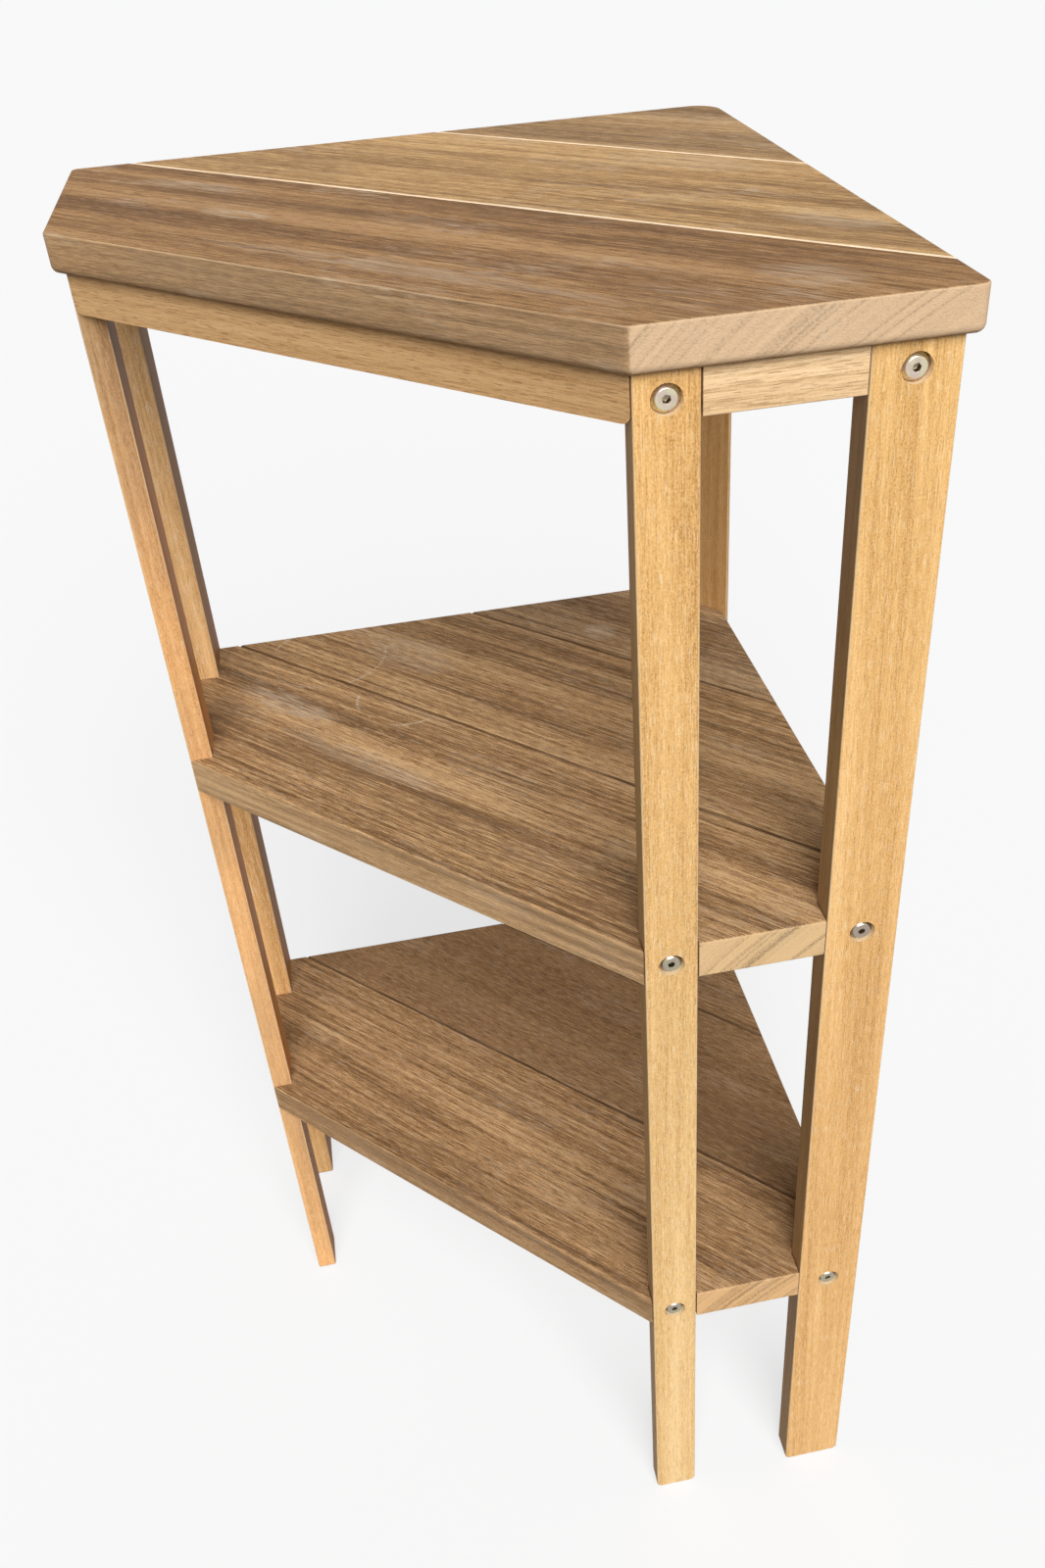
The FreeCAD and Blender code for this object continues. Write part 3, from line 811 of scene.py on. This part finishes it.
# Darker still on the right back leg's narrow faces: painted shade.
SHADED_LEG_WOOD = replace(LEG_WOOD, side=(0.310, 0.178, 0.082))
PLAIN_LEG_WOOD = replace(LEG_WOOD, side_share=0.0)
GREYED_LEG_WOOD = replace(LEG_WOOD, side=(0.290, 0.185, 0.105), side_share=0.5)
RAIL_WOOD = WoodFinish(
    dark=(0.280, 0.150, 0.062), brown=(0.520, 0.320, 0.150), mid=(0.620, 0.400, 0.200),
    pale=(0.720, 0.500, 0.280), end=(0.550, 0.360, 0.170), arris=(0.740, 0.540, 0.320),
    streak_contrast=0.6, dash_contrast=0.6, pore_strength=0.55, pore_start=0.59, worn=Arris.ALL)
DOWEL_WOOD = WoodFinish(
    dark=(0.420, 0.270, 0.140), brown=(0.550, 0.370, 0.200), mid=(0.620, 0.430, 0.250),
    pale=(0.700, 0.520, 0.320), end=(0.600, 0.420, 0.240), arris=(0.700, 0.540, 0.330))

# Finishes of the bolts, inserts and screws
PLATED_STEEL = MetalFinish(
    "plated_steel_finish", (0.72, 0.660, 0.47), (0.68, 0.56, 0.47), roughness=0.26, low_shade_share=0.60,
    hollow=SOCKET_MARK)
INSERT_BRASS = MetalFinish(
    "insert_brass_finish", (0.80, 0.60, 0.28), (0.74, 0.52, 0.24), roughness=0.35)
SCREW_STEEL = MetalFinish(
    "screw_steel_finish", (0.62, 0.61, 0.58), (0.55, 0.54, 0.52), roughness=0.35)


def pick(pieces: Sequence[Piece]) -> None:
    """Selects only some pieces, with the first as the active one.

    Args:
        pieces: The pieces.
    """
    bpy.ops.object.select_all(action="DESELECT")
    for piece in pieces:
        piece.select_set(True)
    bpy.context.view_layer.objects.active = pieces[0]


def dress(node: Piece, material: bpy.types.Material) -> None:
    """Puts a material in a node's slots.

    Args:
        node: The node's object.
        material: Its finish.
    """
    if not node.material_slots:
        node.data.materials.append(material)
    for slot in node.material_slots:
        slot.material = material
    LOG.info("%s: %s", node.name, material.name)


def dress_wood(node: Piece, finish: WoodFinish, grain: Grain, run: Run,
               grooves: Grooves = Grooves.NONE) -> None:
    """Gives a wooden node a material of its own."""
    dress(node, WoodSkin(node.name, finish, grain, Axes.of(node, run), grooves).make())


@dataclass
class Tier:
    """One tier: its front, middle and rear board, and the dowels and inserts inside them."""

    name: str
    finish: WoodFinish
    grains: Tuple[Grain, Grain, Grain]

    BOARDS = (("front", Grooves.REAR), ("middle", Grooves.BOTH), ("rear", Grooves.FRONT))

    def dress(self, nodes: Nodes) -> None:
        """Finishes the tier's boards and dowels.

        Args:
            nodes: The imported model's nodes by name.
        """
        for (board, grooves), grain in zip(self.BOARDS, self.grains):
            dress_wood(nodes[f"{self.name}_{board}_board"], self.finish, grain, Run.ALONG_FRONT, grooves)
        dress_wood(nodes[f"{self.name}_dowels"], DOWEL_WOOD, Grain(), Run.ALONG_FRONT)


@dataclass
class Bolt:
    """A furniture bolt: a flat head with a wide bevel and a hex socket, on a plain shank.

    It is modelled with the head's face at the origin and the shank along +Z, all edges a little softened.
    """

    head_radius: float = 0.0076
    flat_radius: float = 0.0053
    head_height: float = 0.0040
    rim: float = 0.0010
    shank_radius: float = 0.0030
    shank_chamfer: float = 0.0008
    socket_across: float = 0.0040
    socket_depth: float = 0.0036
    socket_sides: int = 6
    softness: float = 0.00022
    soft_steps: int = 2
    segments: int = 64
    crease: float = math.radians(28.0)

    # Least part of an end face's normal that lies along the bolt
    END_FACING = 0.9

    @property
    def socket_radius(self) -> float:
        """From the socket's axis to its corners."""
        return self.socket_across / math.sqrt(3.0)

    def build(self, length: float) -> Piece:
        """Models one bolt.

        Args:
            length: From the head's face to the shank's tip.

        Returns:
            The bolt.
        """
        bpy.ops.object.select_all(action="DESELECT")
        bpy.ops.mesh.primitive_cylinder_add(vertices=self.segments, radius=self.head_radius, depth=self.rim,
                                            location=(0.0, 0.0, self.head_height - self.rim / 2))
        bolt = bpy.context.active_object
        bpy.ops.object.transform_apply(location=True, rotation=True, scale=True)
        self.raise_head(bolt)
        self.draw_shank(bolt, length)
        self.sink_socket(bolt)
        soften = bolt.modifiers.new("soft_edges", "BEVEL")
        soften.width = self.softness
        soften.segments = self.soft_steps
        soften.limit_method = "ANGLE"
        soften.angle_limit = self.crease
        bpy.ops.object.modifier_apply(modifier=soften.name)
        bpy.ops.object.shade_smooth_by_angle(angle=self.crease)
        self.mark_socket(bolt)
        return bolt

    def pick_cap(self, bolt: Piece, way: float) -> None:
        """Opens edit mode with an end face picked.

        Args:
            bolt: The bolt.
            way: Minus one for the head's end, one for the shank's.
        """
        bpy.ops.object.mode_set(mode="EDIT")
        bpy.ops.mesh.select_mode(type="FACE")
        bpy.ops.mesh.select_all(action="DESELECT")
        bpy.ops.object.mode_set(mode="OBJECT")
        faces = [face for face in bolt.data.polygons if face.normal.z * way > self.END_FACING]
        max(faces, key=lambda face: face.center.z * way).select = True
        bpy.ops.object.mode_set(mode="EDIT")

    def stretch(self, distance: float, ratio: float, height: float) -> None:
        """Extrudes the picked face by a distance along Z to a height, and sizes its end by a ratio."""
        bpy.ops.mesh.extrude_region_move(TRANSFORM_OT_translate={"value": (0.0, 0.0, distance)})
        bpy.ops.transform.resize(value=(ratio, ratio, 1.0), center_override=(0.0, 0.0, height))

    def raise_head(self, bolt: Piece) -> None:
        """Draws the head's bevel up from its rim.

        Args:
            bolt: The bolt.
        """
        self.pick_cap(bolt, -1.0)
        self.stretch(self.rim - self.head_height, self.flat_radius / self.head_radius, 0.0)
        bpy.ops.object.mode_set(mode="OBJECT")

    def draw_shank(self, bolt: Piece, length: float) -> None:
        """Draws the shank and its chamfered tip out of the head's underside.

        Args:
            bolt: The bolt.
            length: From the head's face to the shank's tip.
        """
        shoulder = length - self.shank_chamfer
        self.pick_cap(bolt, 1.0)
        bpy.ops.mesh.inset(thickness=self.head_radius - self.shank_radius)
        self.stretch(shoulder - self.head_height, 1.0, shoulder)
        self.stretch(self.shank_chamfer, 1.0 - self.shank_chamfer / self.shank_radius, length)
        bpy.ops.object.mode_set(mode="OBJECT")

    def sink_socket(self, bolt: Piece) -> None:
        """Cuts the hex socket.

        Args:
            bolt: The bolt.
        """
        bpy.ops.object.select_all(action="DESELECT")
        bpy.ops.mesh.primitive_cylinder_add(vertices=self.socket_sides, radius=self.socket_radius,
                                            depth=self.socket_depth * 2)
        cutter = bpy.context.active_object
        pick([bolt])
        cut = bolt.modifiers.new("socket", "BOOLEAN")
        cut.object = cutter
        cut.operation = "DIFFERENCE"
        bpy.ops.object.modifier_apply(modifier=cut.name)
        bpy.data.objects.remove(cutter)

    def mark_socket(self, bolt: Piece) -> None:
        """Notes how deep in the socket each point lies, from zero at the head's face to one at the floor.

        Args:
            bolt: The bolt.
        """
        reach = self.socket_radius + self.softness
        depths = bolt.data.attributes.new(SOCKET_MARK, "FLOAT", "POINT")
        for vertex, mark in zip(bolt.data.vertices, depths.data):
            inside = vertex.co.xy.length < reach and vertex.co.z < self.head_height
            mark.value = vertex.co.z / self.socket_depth if inside else 0.0


@dataclass
class Leg:
    """One leg with its bolts.

    Spin is the turn of the lowest bolt about its own axis. Each bolt above is turned one radian further.
    """

    name: str
    run: Run
    grain: Grain
    finish: WoodFinish = LEG_WOOD
    spin: float = 0.4
    bolt: Bolt = field(default_factory=Bolt)

    def dress(self, nodes: Nodes) -> None:
        """Finishes the leg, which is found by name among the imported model's nodes."""
        dress_wood(nodes[self.name], self.finish, self.grain, self.run)

    def build_bolts(self, node: Piece, steel: bpy.types.Material) -> None:
        """Models the leg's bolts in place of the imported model's.

        Args:
            node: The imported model's bolts of this leg.
            steel: Their finish.
        """
        axes = Axes.of(node, self.run)
        pattern = self.bolt.build(axes.size.z)
        turn = axes.turn.to_matrix().to_4x4()
        head = axes.middle - turn.to_3x3() @ Vector((0.0, 0.0, axes.size.z / 2))
        copies = []
        for number, height in enumerate(self.bolt_heights(node)):
            head.z = height
            copy = pattern.copy()
            copy.data = pattern.data.copy()
            bpy.context.scene.collection.objects.link(copy)
            spun = Matrix.Rotation(self.spin + number, 4, "Z")
            copy.matrix_world = Matrix.Translation(head) @ turn @ spun
            copies.append(copy)
        bpy.data.objects.remove(pattern)
        pick(copies)
        bpy.ops.object.transform_apply(location=True, rotation=True, scale=True)
        bpy.ops.object.join()
        bolts = bpy.context.active_object
        bolts.name = f"{self.name}_softened_bolts"
        dress(bolts, steel)
        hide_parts(node.name)
        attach(bolts, BODY)

    def bolt_heights(self, node: Piece) -> List[float]:
        """Heights of the bolts' middles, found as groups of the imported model's points.

        Args:
            node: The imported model's bolts of this leg.

        Returns:
            The heights, from the lowest.
        """
        groups: List[List[float]] = []
        for height in sorted(vertex.co.z for vertex in node.data.vertices):
            if groups and height - groups[-1][-1] < self.bolt.head_radius:
                groups[-1].append(height)
            else:
                groups.append([height])
        return [(group[0] + group[-1]) / 2 for group in groups]


@dataclass
class Rail:
    """A rail or block under the top."""

    name: str
    run: Run
    grain: Grain

    def dress(self, nodes: Nodes) -> None:
        """Finishes the rail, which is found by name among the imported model's nodes."""
        dress_wood(nodes[self.name], RAIL_WOOD, self.grain, self.run)


@dataclass(frozen=True)
class Lamp:
    """A broad light from far away.

    Azimuth is the side that it comes from: zero is the front, a quarter turn the right. Height is its angle
    over the floor, and softness the angle that it spans. Mirrored tells whether shiny faces reflect it.
    """

    name: str
    azimuth: float
    height: float
    strength: float
    softness: float
    mirrored: bool = True

    def build(self) -> None:
        """Makes the light."""
        lamp = bpy.data.lights.new(self.name, "SUN")
        lamp.energy = self.strength
        lamp.angle = self.softness
        light = bpy.data.objects.new(self.name, lamp)
        level = math.cos(self.height)
        side = math.sin(self.azimuth) * level
        front = math.cos(self.azimuth) * level
        way = Vector((side, -front, math.sin(self.height)))
        light.rotation_euler = way.to_track_quat("Z", "Y").to_euler()
        light.visible_glossy = self.mirrored
        bpy.context.scene.collection.objects.link(light)


@dataclass
class Studio:
    """Pale floor, key light from the right front, faint fill from behind, pale surroundings and the camera.

    Pale is the colour of floor and surroundings as they are seen. Bounce is the floor's colour and ambient
    that of the surroundings as they light the shelf. Shadow share is how much of a shadow the floor keeps.
    """

    pale: Colour = (0.930, 0.930, 0.930)
    bounce: Colour = (0.16, 0.155, 0.15)
    ambient: Colour = (0.165, 0.165, 0.17)
    shadow_share: float = 0.25
    floor_size: float = 60.0
    key: Lamp = Lamp("key_light", azimuth=math.radians(45.0), height=math.radians(38.0), strength=4.4,
                     softness=math.radians(45.0))
    fill: Lamp = Lamp("fill_light", azimuth=math.radians(205.0), height=math.radians(8.0), strength=0.5,
                      softness=math.radians(60.0), mirrored=False)
    eye: Triple = (0.5125, -0.7142, 1.2084)
    aim: Triple = (-0.0335, 0.0089, 0.5846)
    roll: float = math.radians(-4.229)
    lens: float = 31.40
    sensor: float = 36.0
    shift: Pair = (-0.01163, -0.03618)

    def build(self) -> None:
        """Makes the floor, the lights, the surroundings and the camera."""
        bpy.context.scene.view_settings.view_transform = "Standard"
        self.build_floor()
        self.key.build()
        self.fill.build()
        self.build_surroundings()
        self.build_camera()

    def seen_share(self, graph: Graph) -> Socket:
        """One for rays from the camera, straight, mirrored or through glass; else zero."""
        path = graph.add("ShaderNodeLightPath").outputs
        return graph.greatest(path["Is Camera Ray"], path["Is Glossy Ray"], path["Is Transmission Ray"])

    def build_floor(self) -> None:
        """Makes the floor, which keeps a faint shadow."""
        bpy.ops.object.select_all(action="DESELECT")
        bpy.ops.mesh.primitive_plane_add(size=self.floor_size)
        floor = bpy.context.active_object
        floor.name = "studio_floor"
        material, graph = new_material("studio_floor_finish")
        glow = graph.add("ShaderNodeEmission", {"Color": self.pale})
        matt = graph.add("ShaderNodeBsdfDiffuse", {"Color": self.pale})
        grey = graph.add("ShaderNodeBsdfDiffuse", {"Color": self.bounce})
        shown = graph.blend(self.shadow_share, glow, matt)
        graph.show(graph.blend(self.seen_share(graph), grey, shown))
        floor.data.materials.append(material)

    def build_surroundings(self) -> None:
        """Makes the world: pale where it is seen, dimmer where it lights."""
        world = bpy.data.worlds.new("studio_world")
        world.use_nodes = True
        graph = Graph(world.node_tree)
        dim = graph.add("ShaderNodeBackground", {"Color": self.ambient})
        seen = graph.add("ShaderNodeBackground", {"Color": self.pale})
        graph.show(graph.blend(self.seen_share(graph), dim, seen), "ShaderNodeOutputWorld")
        bpy.context.scene.world = world

    def build_camera(self) -> None:
        """Makes the camera at the photograph's viewpoint."""
        data = bpy.data.cameras.new("camera")
        data.lens = self.lens
        data.sensor_width = self.sensor
        data.shift_x, data.shift_y = self.shift
        camera = bpy.data.objects.new("camera", data)
        look = (Vector(self.aim) - Vector(self.eye)).to_track_quat("-Z", "Y").to_matrix().to_4x4()
        camera.matrix_world = Matrix.Translation(self.eye) @ look @ Matrix.Rotation(self.roll, 4, "Z")
        bpy.context.scene.collection.objects.link(camera)
        bpy.context.scene.camera = camera


# Marks on the boards; on the lower shelf the stain colour also paints shade
SCUFF: Colour = (0.60, 0.49, 0.36)
STAIN: Colour = (0.17, 0.092, 0.042)
LARGE_RING = (0.0474, 0.0474)
SMALL_RING = (0.0373, 0.0373)
RING_WIDTH = 0.0016

# The shelf's pieces
TIERS = (
    Tier("top", WEATHERED, (
        Grain((0.16, -0.15), seed=1.0, tone=(0.90, 0.83, 0.72), smudges=(
            Smudge((-0.117, 0.001), (0.034, 0.010), 0.50, SCUFF),
            Smudge((-0.190, 0.043), (0.060, 0.012), 0.35, SCUFF),
            Smudge((0.050, -0.047), (0.160, 0.012), 0.30, SCUFF),
            Smudge((0.240, 0.024), (0.035, 0.020), 0.30, SCUFF),
            Smudge((-0.127, 0.028), (0.140, 0.012), 0.55, STAIN),
            Smudge((0.206, -0.033), (0.050, 0.020), 0.45, STAIN))),
        Grain((0.20, -0.18), seed=4.0, tone=(1.23, 1.23, 1.07), smudges=(
            Smudge((0.071, 0.053), (0.070, 0.020), 0.25, SCUFF),
            Smudge((0.210, -0.036), (0.040, 0.015), 0.40, SCUFF),
            Smudge((-0.205, -0.040), (0.110, 0.032), 0.50, STAIN),
            Smudge((0.225, -0.052), (0.080, 0.022), 0.45, STAIN))),
        Grain((0.18, -0.16), seed=7.0, tone=(1.05, 1.08, 1.01)))),
    Tier("middle_shelf", MIDDLE_SHELF_WOOD, (
        Grain((0.20, -0.16), seed=11.0, tone=(1.12, 1.11, 1.08), figure=0.8, smudges=(
            Smudge((-0.205, 0.093), LARGE_RING, 0.65, SCUFF, RING_WIDTH),
            Smudge((-0.109, 0.076), SMALL_RING, 0.65, SCUFF, RING_WIDTH),
            Smudge((-0.187, 0.024), (0.060, 0.014), 0.45, SCUFF),
            Smudge((-0.080, -0.004), (0.090, 0.012), 0.35, SCUFF),
            Smudge((-0.118, -0.016), (0.070, 0.018), 0.50, STAIN),
            Smudge((-0.213, -0.018), (0.038, 0.034), 0.75, STAIN),
            Smudge((0.036, -0.031), (0.160, 0.018), 0.60, STAIN),
            Smudge((0.168, -0.044), (0.070, 0.030), 0.50, STAIN))),
        Grain((0.22, -0.20), seed=14.0, tone=(1.18, 1.18, 1.14), figure=0.65, smudges=(
            Smudge((-0.205, -0.046), LARGE_RING, 0.55, SCUFF, RING_WIDTH),
            Smudge((-0.150, -0.010), (0.060, 0.030), 0.25, SCUFF))),
        Grain((0.17, -0.15), seed=17.0, tone=(1.14, 1.20, 1.28), figure=0.6, smudges=(
            Smudge((-0.030, -0.027), (0.017, 0.015), 0.55, SCUFF),)))),
    Tier("lower_shelf", LOWER_SHELF_WOOD, (
        Grain((0.18, -0.15), seed=21.0, tone=(1.06, 1.03, 1.00), figure=0.7, smudges=(
            Smudge((0.011, -0.050), (0.180, 0.011), 0.60, STAIN),
            Smudge((-0.187, -0.052), (0.060, 0.020), 0.45, STAIN),
            Smudge((0.2285, 0.030), (0.060, 0.040), 0.45, STAIN))),
        # Painted shade: darker middle and rear boards, and a dark patch at the middle board's right.
        Grain((0.21, -0.19), seed=24.0, tone=(0.84, 0.81, 0.80), figure=0.2, smudges=(
            Smudge((0.186, -0.035), (0.080, 0.045), 0.45, STAIN),)),
        Grain((0.16, -0.15), seed=27.0, tone=(0.88, 0.86, 0.85), figure=0.5))),
)
LEGS = (
    Leg("right_front_leg", Run.RIGHT_UPRIGHT,
        Grain((0.12, -0.15), seed=31.0, tone=(1.08, 1.08, 1.04), foot=(0.97, 1.04, 1.12))),
    Leg("right_back_leg", Run.RIGHT_UPRIGHT,
        Grain((-0.14, -0.12), seed=34.0, tone=(1.05, 1.06, 1.02), foot=(0.99, 0.98, 1.00)),
        finish=SHADED_LEG_WOOD, spin=0.9),
    # Left legs: darker towards the upper end as painted shadow of the top.
    Leg("left_front_leg", Run.LEFT_UPRIGHT,
        Grain((0.12, -0.12), seed=37.0, tone=(0.74, 0.72, 0.79), foot=(1.40, 1.22, 1.14),
              drift=(0.70, 0.90), inner=(0.55, 0.46, 0.40)),
        finish=GREYED_LEG_WOOD, spin=0.2),
    Leg("left_back_leg", Run.LEFT_UPRIGHT,
        Grain((-0.12, -0.14), seed=40.0, tone=(0.89, 0.94, 1.13), foot=(1.13, 1.10, 1.15),
              inner=(0.45, 0.35, 0.28)),
        finish=PLAIN_LEG_WOOD, spin=0.7),
    Leg("rear_leg", Run.REAR_UPRIGHT, Grain((0.13, -0.15), seed=43.0, tone=(0.86, 0.81, 0.76)), spin=0.5),
)
RAILS = (
    Rail("front_rail", Run.ALONG_FRONT, Grain((0.14, -0.12), seed=51.0, tone=(0.98, 0.93, 0.87))),
    Rail("right_side_rail", Run.RIGHT_SIDE, Grain((0.13, -0.14), seed=54.0, tone=(1.25, 1.36, 1.55))),
    Rail("left_side_rail", Run.LEFT_SIDE, Grain((-0.12, -0.14), seed=57.0)),
    Rail("rear_block", Run.ALONG_FRONT, Grain((0.12, -0.12), seed=60.0)),
)


def main() -> None:
    """Builds and dresses the shelf and its studio."""
    logging.basicConfig(level=logging.INFO, format="%(name)s: %(message)s")
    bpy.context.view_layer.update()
    nodes = frame["nodes"]
    for group in (*TIERS, *LEGS, *RAILS):
        group.dress(nodes)
    steel = PLATED_STEEL.make()
    for leg in LEGS:
        leg.build_bolts(nodes[f"{leg.name}_bolts"], steel)
    brass = INSERT_BRASS.make()
    for tier in TIERS:
        dress(nodes[f"{tier.name}_inserts"], brass)
    dress(nodes["rail_screws"], SCREW_STEEL.make())
    Studio().build()


if __name__ == "__main__":
    main()
